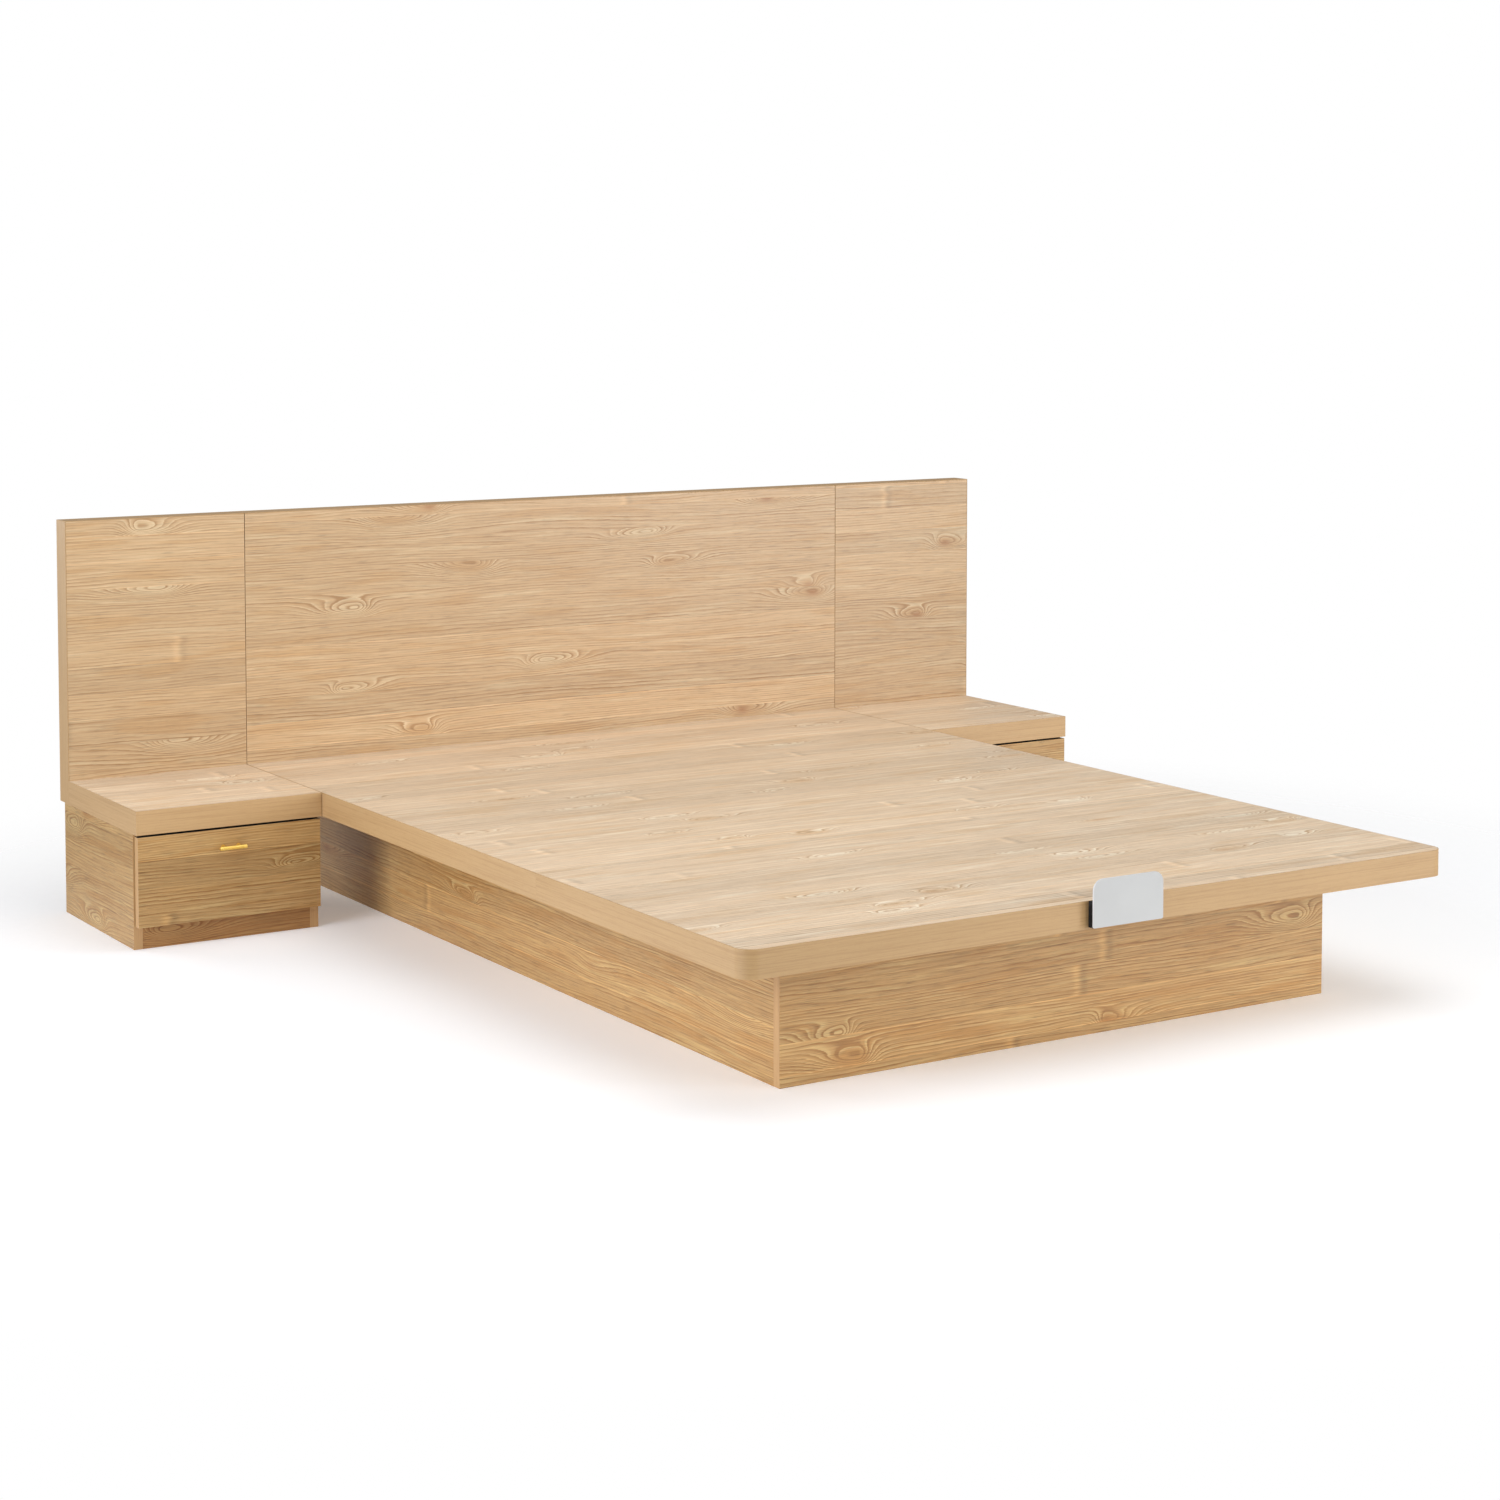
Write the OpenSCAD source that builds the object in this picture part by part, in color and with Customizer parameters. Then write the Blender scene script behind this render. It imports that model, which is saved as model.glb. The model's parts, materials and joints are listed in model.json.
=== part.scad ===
// Low platform bed: a panelled headboard as wide as the bed and its two nightstands,
// a thick-edged deck that overhangs its plinth, and one drawer in each nightstand.
// X runs across the bed, +Y points to the headboard, Z up. The origin is on the floor,
// in the middle of the whole bed. A depth is a distance from the headboard's front face
// towards the foot, so a negative depth lies behind that face.

/* [Deck] */
// Width of the deck, which is the mattress width
deck_w = 1500; // [1400:10:1600]
// Length of the deck, which is the mattress length
deck_l = 2000; // [1900:10:2100]
// Height of the deck's top above the floor
deck_h = 276; // [260:1:300]
// Thickness of the deck's edge and of the nightstand tops
slab_t = 48; // [42:1:54]
// Radius of the deck's two corners at the foot
corner_r = 30; // [10:1:45]
// Depth of the crosswise joint between the two deck boards
seam_d = 1314; // [1200:1:1400]
// Width of the battens glued under the deck boards
batten_w = 60; // [50:1:70]

/* [Plinth] */
// Outside width of the plinth under the deck
plinth_w = 1180; // [1100:10:1300]
// Depth of the plinth's foot board, outside face
plinth_foot_d = 1852; // [1800:1:1880]

/* [Headboard] */
// Width of the headboard and of the whole bed
headboard_w = 2280; // [2200:10:2400]
// Height of the headboard's top above the floor
headboard_top = 812; // [700:1:1000]
// Thickness of the headboard
headboard_t = 54; // [48:1:60]
// Thickness of the headboard's front and back boards
headboard_face_t = 15; // [12:1:16]
// How far the headboard hangs over the plinth's back, to clear a skirting board
headboard_lap = 28; // [27:1:32]

/* [Nightstands] */
// Depth of a nightstand's top
stand_d = 394; // [380:1:420]
// Height of the kick space below the drawer front
kick_h = 46; // [40:1:50]
// Gap between the nightstand's top and the drawer front
reveal = 4; // [3:1:6]
// Thickness of the boards of a drawer box
drawer_board_t = 12; // [10:1:15]
// Height of a drawer box
drawer_box_h = 120; // [100:1:125]
// Length of a drawer box
drawer_box_l = 330; // [320:1:335]
// Length of the drawer slides
slide_l = 300; // [280:1:310]

/* [Handles] */
// Length of a drawer handle's bar
handle_l = 56; // [50:1:90]
// Diameter of the bar
handle_d = 8; // [7:0.5:10]
// How far a handle stands out from the drawer front
handle_out = 20; // [18:1:28]
// Height of the handle above the floor
handle_z = 188; // [150:1:200]

/* [Mattress stop] */
// Width of the mattress stop's plate
stop_w = 150; // [120:1:180]
// Height of the mattress stop's plate
stop_h = 82; // [70:1:100]
// Height of the plate's bottom edge above the deck's underside
stop_rise = 4; // [2:1:8]
// Radius of the plate's top corners
stop_r = 20; // [10:1:30]
// Thickness of the spacer between the plate and the deck's edge
spacer_t = 12; // [10:1:15]
// Thickness of the plate
stop_plate_t = 2.5; // [2:0.5:3]

/* [Boards] */
// Thickness of the faced boards
board_t = 18; // [16:1:18]
// Thickness of the edging strips
edging_t = 1.5; // [1:0.5:2]

/* [Hidden] */
$fn = 48;

LEFT = -1;
RIGHT = 1;

// Colours
oak_top = [0.88, 0.77, 0.63];
oak_face = [0.83, 0.69, 0.51];
oak_edge = [0.82, 0.67, 0.45];
oak_low = [0.70, 0.54, 0.34];
raw_board = [0.78, 0.70, 0.58];
pine = [0.86, 0.75, 0.56];
brass = [0.80, 0.64, 0.24];
steel = [0.72, 0.73, 0.74];
plate_grey = [0.83, 0.83, 0.83];
black = [0.10, 0.10, 0.10];

// Small gaps
glue_gap = 0.2;     // between battens that butt
joint_gap = 0.4;    // across the deck's crosswise joint
panel_gap = 1;      // between neighbouring headboard panels, and stand tops and deck
drill_play = 0.2;   // by which a drilled hole is wider than its screw
groove_play = 0.4;  // by which a groove is wider than its panel

// Heights and depths that follow
slab_z = deck_h - slab_t;
batten_top = deck_h - board_t;
bed_l = headboard_t + deck_l + spacer_t + stop_plate_t;
head_y = bed_l / 2 - headboard_t;
half_w = headboard_w / 2;
half_deck = deck_w / 2;
half_plinth = plinth_w / 2;
back_d = headboard_lap - headboard_t;   // back face of the plinth and the carcasses
plinth_in = half_plinth - board_t;
rail_x = half_deck - edging_t - batten_w;
rib_depths = [seam_d / 3, seam_d * 2 / 3, seam_d];

// Deck battens: how many lie crosswise under each board
head_battens = 8;
foot_battens = 4;
head_pitch = (seam_d - joint_gap / 2 - batten_w) / (head_battens - 1);
foot_pitch = (deck_l - edging_t - seam_d - joint_gap / 2 - batten_w) / (foot_battens - 1);

// Nightstand carcass, as X distances from the bed's centre line
front_gap = 2;          // between a drawer front and the carcass
deck_gap = 2;           // between the carcass and the deck's side
front_inset_in = 5;     // of a drawer front from the deck's side
front_inset_out = 3;    // of a drawer front from the headboard's end
kick_lap = 4;           // of the kick board behind the drawer front
carcass_in = half_deck + deck_gap;
carcass_front_d = stand_d - board_t - front_gap;
inner_face = carcass_in + board_t;
outer_face = half_w - board_t;
bottom_z = kick_h + kick_lap;
front_x = [half_deck + front_inset_in, half_w - front_inset_out];
front_z = [kick_h, slab_z - reveal];
front_mid = (front_x[0] + front_x[1]) / 2;
bumper_t = front_gap - 0.4;
bumper_r = 4;
bumper_z = [bottom_z + 10, slab_z - 18];

// Drawer box and slides
slide_t = 13;           // room for a slide on each side of the box
slide_h = 45;           // height of the slide's cabinet member
slide_step = 10;        // by which each member is lower than the one round it
slide_setback = 8;      // of the slides from the carcass's front
slide_sheet = 1.2;      // thickness of the members' sheet
cabinet_flange = 9;
middle_flange = 8.6;
drawer_flange = 8;
middle_offset = 2.2;    // of the middle member's web from the carcass
box_lift = 16;          // of the box over the carcass's bottom
box_x = [inner_face + slide_t, outer_face - slide_t];
box_back_d = stand_d - board_t - drawer_box_l;
box_z = [bottom_z + board_t + box_lift, bottom_z + board_t + box_lift + drawer_box_h];
slide_z = (box_z[0] + box_z[1]) / 2;
slide_front_d = carcass_front_d - slide_setback;
drawer_panel_t = 6;
drawer_panel_z = box_z[0] + 8;
groove_depth = 6;
slide_screw_r = 1.75;
slide_screw_end = 30;   // of the screws from the slide's ends
slide_screw_skin = 5;   // of board left behind a slide screw
slide_screw_depths = [slide_front_d - slide_screw_end, slide_front_d - slide_l + slide_screw_end];

// Handles: a round bar on two round posts
handle_screw_r = 1.5;
handle_screw_bite = 7;  // of the screws into the posts
handle_post_r = 3;
handle_foot_r = 4.5;
handle_foot_t = 1.5;
handle_chamfer = 0.7;
handle_inset = 12;      // of the posts from the bar's ends
handle_post_x = [front_mid - handle_l / 2 + handle_inset, front_mid + handle_l / 2 - handle_inset];

// Angle brackets, joining plates and their screws
bracket_leg = 25;
bracket_w = 40;
bracket_t = 2;
bracket_hole = 10;
bracket_hole_pitch = 22;
screw_r = 2;
screw_l = 16;
screw_head_r = 3.5;
screw_head_h = 1.6;
corner_bracket_z = slab_z - 60;
plate_l = 90;
plate_w = 36;
plate_t = 2.5;
plate_hole_x = 9;
plate_hole_y = 30;
plate_x = [half_plinth + 45, rail_x + batten_w / 2];

// Mattress stop
stop_bottom_r = 3;
bolt_r = 3;
bolt_head_r = 5;
bolt_head_h = 4;
boss_r = 6;
boss_l = spacer_t - 2;
bolt_x = 40;
bolt_z = slab_z + (slab_t - board_t) / 2;

// Headboard
face_h = headboard_top - edging_t - slab_z;
stud_w = 45;
rows = 4;               // of battens between the studs
dowel_r = 5;
dowel_half_l = 30;
panel_x = [
    [edging_t - half_w, -half_deck - panel_gap / 2],
    [-half_deck + panel_gap / 2, half_deck - panel_gap / 2],
    [half_deck + panel_gap / 2, half_w - edging_t],
];

// A block between two X values, two depths and two heights
module board(x, d, z) {
    translate([x[0], head_y - d[1], z[0]])
        cube([x[1] - x[0], d[1] - d[0], z[1] - z[0]]);
}

// Puts what is drawn on the right of the bed on either side
module on_side(s) {
    if (s == LEFT) mirror([1, 0, 0]) children();
    else children();
}

// ---- Fasteners ------------------------------------------------------------

// Pan-head screw: the head's underside at z = 0, the shank down
module screw() {
    translate([0, 0, -screw_l]) cylinder(r = screw_r, h = screw_l);
    cylinder(r = screw_head_r, h = screw_head_h);
}

// The hole that a screw needs
module screw_hole() {
    translate([0, 0, -screw_l - 1]) cylinder(r = screw_r + drill_play / 2, h = screw_l + 2);
}

// The four screw places of one bracket, the head's underside at the plate's face
module at_bracket_screws() {
    for (w = [-1, 1] * bracket_hole_pitch / 2) {
        translate([bracket_hole, bracket_t, w]) rotate([-90, 0, 0]) children();
        translate([bracket_t, bracket_hole, w]) rotate([0, 90, 0]) children();
    }
}

// Folded angle bracket: its legs run along X and Y, the wood is on the negative sides
module bracket() {
    difference() {
        translate([0, 0, -bracket_w / 2]) union() {
            cube([bracket_leg, bracket_t, bracket_w]);
            cube([bracket_t, bracket_leg, bracket_w]);
        }
        at_bracket_screws() screw_hole();
    }
}

// In the plinth's four inside corners
module at_corner_brackets() {
    for (s = [LEFT, RIGHT]) on_side(-s) {
        translate([-plinth_in, head_y - plinth_foot_d + board_t, corner_bracket_z]) children();
        translate([-plinth_in, head_y - back_d - board_t, corner_bracket_z])
            mirror([0, 1, 0]) children();
    }
}

// Behind the plinth and the carcasses, under the headboard's overhang
module at_headboard_brackets() {
    for (x = [300, front_mid - 90, front_mid + 90], s = [-1, 1])
        translate([s * x, head_y - back_d, slab_z]) rotate([0, 90, 0]) children();
}

// Inside the plinth's long sides, under two of the deck's battens
module at_deck_brackets() {
    for (i = [2, 5], s = [LEFT, RIGHT]) on_side(-s)
        translate([-plinth_in, head_y - i * head_pitch - batten_w / 2, slab_z])
            rotate([0, 90, -90]) children();
}

// The joining plates under the deck's crosswise joint
module at_plates() {
    for (x = plate_x, s = [-1, 1]) translate([s * x, head_y - seam_d, slab_z - plate_t]) children();
}

// The four screw places of one joining plate
module at_plate_screws() {
    for (x = [-1, 1] * plate_hole_x, y = [-1, 1] * plate_hole_y)
        translate([x, y, 0]) rotate([180, 0, 0]) children();
}

module angle_brackets() {
    color(steel) {
        at_corner_brackets() bracket();
        at_headboard_brackets() bracket();
        at_deck_brackets() bracket();
    }
}

module wood_screws() {
    color(steel) {
        at_corner_brackets() at_bracket_screws() screw();
        at_headboard_brackets() at_bracket_screws() screw();
        at_deck_brackets() at_bracket_screws() screw();
        at_plates() at_plate_screws() screw();
    }
}

module deck_joining_plates() {
    color(steel) at_plates() difference() {
        translate([-plate_w / 2, -plate_l / 2, 0]) cube([plate_w, plate_l, plate_t]);
        at_plate_screws() screw_hole();
    }
}

// ---- Deck -----------------------------------------------------------------

// Solid outline of the deck, drawn in by an inset, with round corners at the foot
module deck_solid(inset, z) {
    w = half_deck - inset;
    l = deck_l - inset;
    r = corner_r - inset;
    board([-w, w], [0, l - r], z);
    board([r - w, w - r], [0, l], z);
    for (s = [-1, 1]) translate([s * (w - r), head_y - l + r, z[0]]) cylinder(r = r, h = z[1] - z[0]);
}

// Keeps the part of the deck between two depths
module deck_cut(d) {
    intersection() {
        children();
        board([-half_deck - 1, half_deck + 1], d, [0, headboard_top]);
    }
}

module deck_head_board() {
    color(oak_top) deck_cut([0, seam_d - joint_gap / 2]) deck_solid(edging_t, [batten_top, deck_h]);
}

module deck_foot_board() {
    color(oak_top) deck_cut([seam_d + joint_gap / 2, deck_l])
        deck_solid(edging_t, [batten_top, deck_h]);
}

// A side rail on each side and evenly spaced cross battens between them
module battens(d, count, pitch) {
    z = [slab_z, batten_top];
    for (s = [LEFT, RIGHT]) on_side(s) intersection() {
        deck_solid(edging_t, z);
        board([rail_x, half_deck], d, z);
    }
    for (i = [0 : count - 1])
        board([glue_gap - rail_x, rail_x - glue_gap], [d[0] + i * pitch, d[0] + i * pitch + batten_w], z);
}

module deck_head_battens() {
    color(pine) difference() {
        battens([0, seam_d - joint_gap / 2], head_battens, head_pitch);
        at_deck_brackets() at_bracket_screws() screw_hole();
        at_plates() at_plate_screws() screw_hole();
    }
}

module deck_foot_battens() {
    color(pine) difference() {
        battens([seam_d + joint_gap / 2, deck_l - edging_t], foot_battens, foot_pitch);
        at_plates() at_plate_screws() screw_hole();
        stop_bolt_holes();
    }
}

// Strip glued around the deck's edge
module deck_edging(d) {
    z = [slab_z, deck_h];
    deck_cut(d) difference() {
        deck_solid(0, z);
        deck_solid(edging_t, [z[0] - 1, z[1] + 1]);
        board([edging_t - half_deck, half_deck - edging_t], [-1, seam_d], [z[0] - 1, z[1] + 1]);
    }
}

module deck_head_edging() {
    color(oak_edge) deck_edging([0, seam_d - joint_gap / 2]);
}

module deck_foot_edging() {
    color(oak_edge) difference() {
        deck_edging([seam_d + joint_gap / 2, deck_l]);
        stop_bolt_holes();
    }
}

// ---- Mattress stop --------------------------------------------------------

module at_stop_bolts() {
    for (x = [-1, 1] * bolt_x) translate([x, head_y - deck_l, bolt_z]) rotate([90, 0, 0]) children();
}

module stop_bolt_holes() {
    at_stop_bolts() translate([0, 0, -batten_w - edging_t - 1])
        cylinder(r = bolt_r + drill_play / 2, h = batten_w + edging_t + 2);
}

// Upright plate with round corners, and the two threaded bosses on its back
module mattress_stop_plate() {
    z0 = slab_z + stop_rise;
    color(plate_grey) difference() {
        union() {
            translate([0, head_y - deck_l - spacer_t, z0]) rotate([90, 0, 0]) {
                translate([-stop_w / 2, stop_bottom_r, 0])
                    cube([stop_w, stop_h - stop_r - stop_bottom_r, stop_plate_t]);
                translate([stop_bottom_r - stop_w / 2, 0, 0])
                    cube([stop_w - 2 * stop_bottom_r, stop_h - stop_r, stop_plate_t]);
                translate([stop_r - stop_w / 2, stop_bottom_r, 0])
                    cube([stop_w - 2 * stop_r, stop_h - stop_bottom_r, stop_plate_t]);
                for (s = [-1, 1]) {
                    translate([s * (stop_w / 2 - stop_r), stop_h - stop_r, 0])
                        cylinder(r = stop_r, h = stop_plate_t);
                    translate([s * (stop_w / 2 - stop_bottom_r), stop_bottom_r, 0])
                        cylinder(r = stop_bottom_r, h = stop_plate_t);
                }
            }
            at_stop_bolts() translate([0, 0, spacer_t - boss_l]) cylinder(r = boss_r, h = boss_l);
        }
        at_stop_bolts() translate([0, 0, -1]) cylinder(r = bolt_r + drill_play / 2, h = spacer_t + 1);
    }
}

module mattress_stop_spacer() {
    color(black) difference() {
        board([-stop_w / 2 + 1, stop_w / 2 - 1], [deck_l, deck_l + spacer_t], [slab_z + stop_rise, deck_h]);
        at_stop_bolts() translate([0, 0, -1]) cylinder(r = boss_r + drill_play / 2, h = spacer_t + 2);
    }
}

module mattress_stop_bolts() {
    inner = batten_w + edging_t;
    color(steel) at_stop_bolts() {
        translate([0, 0, -inner]) cylinder(r = bolt_r, h = inner + spacer_t - 1);
        translate([0, 0, -inner - bolt_head_h]) cylinder(r = bolt_head_r, h = bolt_head_h);
    }
}

// ---- Plinth ---------------------------------------------------------------

module plinth_side(s) {
    color(oak_low) difference() {
        on_side(s) board([plinth_in, half_plinth], [back_d + board_t, plinth_foot_d - board_t], [0, slab_z]);
        at_corner_brackets() at_bracket_screws() screw_hole();
        at_deck_brackets() at_bracket_screws() screw_hole();
    }
}

module plinth_foot_board() {
    color(oak_low) difference() {
        board([-half_plinth, half_plinth], [plinth_foot_d - board_t, plinth_foot_d], [0, slab_z]);
        at_corner_brackets() at_bracket_screws() screw_hole();
    }
}

module plinth_head_board() {
    color(oak_low) difference() {
        board([-half_plinth, half_plinth], [back_d, back_d + board_t], [0, slab_z]);
        at_corner_brackets() at_bracket_screws() screw_hole();
        at_headboard_brackets() at_bracket_screws() screw_hole();
    }
}

module plinth_centre_beam() {
    color(raw_board) board([-board_t / 2, board_t / 2],
        [back_d + board_t, plinth_foot_d - board_t], [0, slab_z]);
}

module plinth_cross_ribs() {
    color(raw_board) for (d = rib_depths, s = [LEFT, RIGHT]) on_side(s)
        board([board_t / 2, plinth_in], [d - board_t / 2, d + board_t / 2], [0, slab_z]);
}

// ---- Headboard ------------------------------------------------------------

module headboard_face(i) {
    color(oak_face) board(panel_x[i], [-headboard_face_t, 0], [slab_z, slab_z + face_h]);
}

module headboard_back_boards() {
    color(oak_face) for (x = panel_x)
        board(x, [-headboard_t, headboard_face_t - headboard_t], [slab_z, slab_z + face_h]);
}

// Dowels that line up neighbouring panels
module at_dowels() {
    for (s = [-1, 1], h = [0.2, 0.4, 0.6, 0.8] * face_h)
        translate([s * half_deck, head_y + headboard_t / 2, slab_z + h]) rotate([0, 90, 0]) children();
}

// Studs at each panel's ends and rows of battens between them
module headboard_battens() {
    d = [headboard_face_t - headboard_t, -headboard_face_t];
    row_pitch = (face_h - stud_w) / (rows - 1);
    color(pine) difference() {
        for (x = panel_x) {
            board([x[0], x[0] + stud_w], d, [slab_z, slab_z + face_h]);
            board([x[1] - stud_w, x[1]], d, [slab_z, slab_z + face_h]);
            for (i = [0 : rows - 1])
                board([x[0] + stud_w + glue_gap, x[1] - stud_w - glue_gap], d,
                    [slab_z + i * row_pitch, slab_z + i * row_pitch + stud_w]);
        }
        at_headboard_brackets() at_bracket_screws() screw_hole();
        at_dowels() translate([0, 0, -dowel_half_l - 1])
            cylinder(r = dowel_r + drill_play / 2, h = 2 * dowel_half_l + 2);
    }
}

// Strips over the top edge, one to a panel, and over the two ends
module headboard_edging() {
    d = [-headboard_t, 0];
    top = [headboard_top - edging_t, headboard_top];
    color(oak_edge) {
        for (x = panel_x) board(x, d, top);
        for (s = [LEFT, RIGHT]) on_side(s) board([half_w - edging_t, half_w], d, [slab_z, headboard_top]);
    }
}

module headboard_dowels() {
    color(pine) at_dowels() translate([0, 0, -dowel_half_l]) cylinder(r = dowel_r, h = 2 * dowel_half_l);
}

// ---- Nightstands, drawn on the right --------------------------------------

module top_board(s) {
    color(oak_top) on_side(s)
        board([half_deck + panel_gap, half_w - edging_t], [0, stand_d - edging_t], [batten_top, deck_h]);
}

module top_battens(s) {
    x = [half_deck + panel_gap, half_w - edging_t];
    d = [0, stand_d - edging_t];
    z = [slab_z, batten_top];
    between = [d[0] + batten_w + glue_gap, d[1] - batten_w - glue_gap];
    color(pine) on_side(s) {
        board(x, [d[0], d[0] + batten_w], z);
        board(x, [d[1] - batten_w, d[1]], z);
        board([x[0], x[0] + batten_w], between, z);
        board([x[1] - batten_w, x[1]], between, z);
    }
}

module top_edging(s) {
    z = [slab_z, deck_h];
    color(oak_edge) on_side(s) {
        board([half_deck + panel_gap, half_w - edging_t], [stand_d - edging_t, stand_d], z);
        board([half_w - edging_t, half_w], [0, stand_d], z);
    }
}

// Screws that hold the slides' outer members, flush in the sheet
module at_cabinet_screws() {
    for (d = slide_screw_depths) {
        translate([inner_face + slide_sheet, head_y - d, slide_z]) rotate([0, 90, 0]) children();
        translate([outer_face - slide_sheet, head_y - d, slide_z]) rotate([0, -90, 0]) children();
    }
}

module slide_screw(play) {
    l = board_t - slide_screw_skin + slide_sheet;
    translate([0, 0, -l]) cylinder(r = slide_screw_r + play, h = l + play);
}

module side_panel(s, x) {
    color(oak_low) on_side(s) difference() {
        board(x, [back_d, carcass_front_d], [0, slab_z]);
        at_cabinet_screws() slide_screw(drill_play / 2);
    }
}

module back_panel(s) {
    color(raw_board) difference() {
        on_side(s) board([inner_face, outer_face], [back_d, back_d + board_t], [0, slab_z]);
        at_headboard_brackets() at_bracket_screws() screw_hole();
    }
}

module bottom_panel(s) {
    color(raw_board) on_side(s) board([inner_face, outer_face],
        [back_d + board_t, carcass_front_d], [bottom_z, bottom_z + board_t]);
}

module kick_board(s) {
    color(oak_low) on_side(s)
        board([inner_face, outer_face], [carcass_front_d - board_t, carcass_front_d], [0, bottom_z]);
}

// Soft stops for the drawer fronts, on the front edges of the carcasses
module drawer_bumpers() {
    color(black) for (s = [LEFT, RIGHT], x = [carcass_in, outer_face] + [1, 1] * board_t / 2,
        z = bumper_z) on_side(s)
            translate([x, head_y - carcass_front_d, z]) rotate([90, 0, 0])
                cylinder(r = bumper_r, h = bumper_t);
}

// ---- Slides ---------------------------------------------------------------

// A channel along Y: web at 0, flanges towards +X
module channel(height, depth) {
    translate([0, head_y - slide_front_d, slide_z - height / 2]) difference() {
        cube([depth, slide_l, height]);
        translate([slide_sheet, -1, slide_sheet])
            cube([depth, slide_l + 2, height - 2 * slide_sheet]);
    }
}

// One slide on each side of the drawer box: the children face +X from the inner carcass side
module slide_pair(s) {
    on_side(s) {
        translate([inner_face, 0, 0]) children();
        translate([outer_face, 0, 0]) mirror([1, 0, 0]) children();
    }
}

module cabinet_slides(s) {
    color(steel) difference() {
        slide_pair(s) channel(slide_h, cabinet_flange);
        on_side(s) at_cabinet_screws() slide_screw(drill_play / 2);
    }
}

module middle_slides(s) {
    color(steel) slide_pair(s) translate([middle_offset, 0, 0]) channel(slide_h - slide_step, middle_flange);
}

module drawer_slides(s) {
    color(steel) difference() {
        slide_pair(s) translate([slide_t, 0, 0]) mirror([1, 0, 0])
            channel(slide_h - 2 * slide_step, drawer_flange);
        on_side(s) at_drawer_slide_screws()
            cylinder(r = slide_screw_r + drill_play / 2, h = 2 * slide_t, center = true);
    }
}

// ---- Drawers --------------------------------------------------------------

module at_drawer_slide_screws() {
    for (d = slide_screw_depths, x = [box_x[0] + 4, box_x[1] - 4])
        translate([x, head_y - d, slide_z]) rotate([0, 90, 0]) children();
}

module at_handle_posts() {
    for (x = handle_post_x) translate([x, head_y - stand_d, handle_z]) rotate([90, 0, 0]) children();
}

module handle_screw_holes() {
    inner = board_t + drawer_board_t + 1;
    at_handle_posts() translate([0, 0, -inner])
        cylinder(r = handle_screw_r + drill_play / 2, h = inner + handle_screw_bite + 1);
}

module drawer_front(s) {
    color(oak_low) on_side(s) difference() {
        board(front_x, [stand_d - board_t, stand_d], front_z);
        handle_screw_holes();
    }
}

// Room for the drawer's bottom panel in the boards around it
module bottom_groove() {
    in = drawer_board_t - groove_depth;
    board([box_x[0] + in, box_x[1] - in], [box_back_d + in, stand_d - board_t - in],
        [drawer_panel_z - groove_play / 2, drawer_panel_z + drawer_panel_t + groove_play / 2]);
}

module drawer_sides(s) {
    t = drawer_board_t;
    color(pine) on_side(s) difference() {
        for (x = [box_x[0], box_x[1] - t]) board([x, x + t], [box_back_d, stand_d - board_t], box_z);
        bottom_groove();
        at_drawer_slide_screws() cylinder(r = slide_screw_r + drill_play / 2, h = 2 * t - 8, center = true);
    }
}

module drawer_ends(s) {
    t = drawer_board_t;
    color(pine) on_side(s) difference() {
        for (d = [box_back_d, stand_d - board_t - t])
            board([box_x[0] + t, box_x[1] - t], [d, d + t], box_z);
        bottom_groove();
        handle_screw_holes();
    }
}

module drawer_bottom(s) {
    in = drawer_board_t - groove_depth + groove_play;
    color(raw_board) on_side(s) board([box_x[0] + in, box_x[1] - in],
        [box_back_d + in, stand_d - board_t - in], [drawer_panel_z, drawer_panel_z + drawer_panel_t]);
}

// The bar has chamfered ends, and each post a foot on the drawer front
module handle(s) {
    r = handle_d / 2;
    l = handle_l / 2;
    c = handle_chamfer;
    outline = [[0, -l], [r - c, -l], [r, c - l], [r, l - c], [r - c, l], [0, l]];
    color(brass) on_side(s) difference() {
        union() {
            translate([front_mid, head_y - stand_d - handle_out + r, handle_z])
                rotate([0, 90, 0]) rotate_extrude() polygon(outline);
            at_handle_posts() cylinder(r = handle_post_r, h = handle_out - r);
            at_handle_posts() cylinder(r = handle_foot_r, h = handle_foot_t);
        }
        handle_screw_holes();
    }
}

// The handle's machine screws from inside the box, and the short screws of the slides
module drawer_screws(s) {
    inner = board_t + drawer_board_t;
    head_h = 2.5;
    color(steel) on_side(s) {
        at_handle_posts() {
            translate([0, 0, -inner]) cylinder(r = handle_screw_r, h = inner + handle_screw_bite);
            translate([0, 0, -inner - head_h]) cylinder(r = 2 * handle_screw_r, h = head_h);
        }
        for (d = slide_screw_depths, x = [box_x[0] - slide_sheet, box_x[1] - 9])
            translate([x, head_y - d, slide_z]) rotate([0, 90, 0])
                cylinder(r = slide_screw_r, h = 9 + slide_sheet);
    }
}

deck_head_board();
deck_foot_board();
deck_head_battens();
deck_foot_battens();
deck_head_edging();
deck_foot_edging();
deck_joining_plates();
plinth_side(LEFT);  // plinth_side_left
plinth_side(RIGHT);  // plinth_side_right
plinth_foot_board();
plinth_head_board();
plinth_centre_beam();
plinth_cross_ribs();
angle_brackets();
wood_screws();
drawer_bumpers();
mattress_stop_plate();
mattress_stop_spacer();
mattress_stop_bolts();
headboard_face(0);  // headboard_left_face
headboard_face(1);  // headboard_centre_face
headboard_face(2);  // headboard_right_face
headboard_battens();
headboard_back_boards();
headboard_edging();
headboard_dowels();
top_board(LEFT);  // left_top_board
top_battens(LEFT);  // left_top_battens
top_edging(LEFT);  // left_top_edging
side_panel(LEFT, [outer_face, half_w]);  // left_side_outer
side_panel(LEFT, [carcass_in, inner_face]);  // left_side_inner
back_panel(LEFT);  // left_back_panel
bottom_panel(LEFT);  // left_bottom_panel
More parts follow.
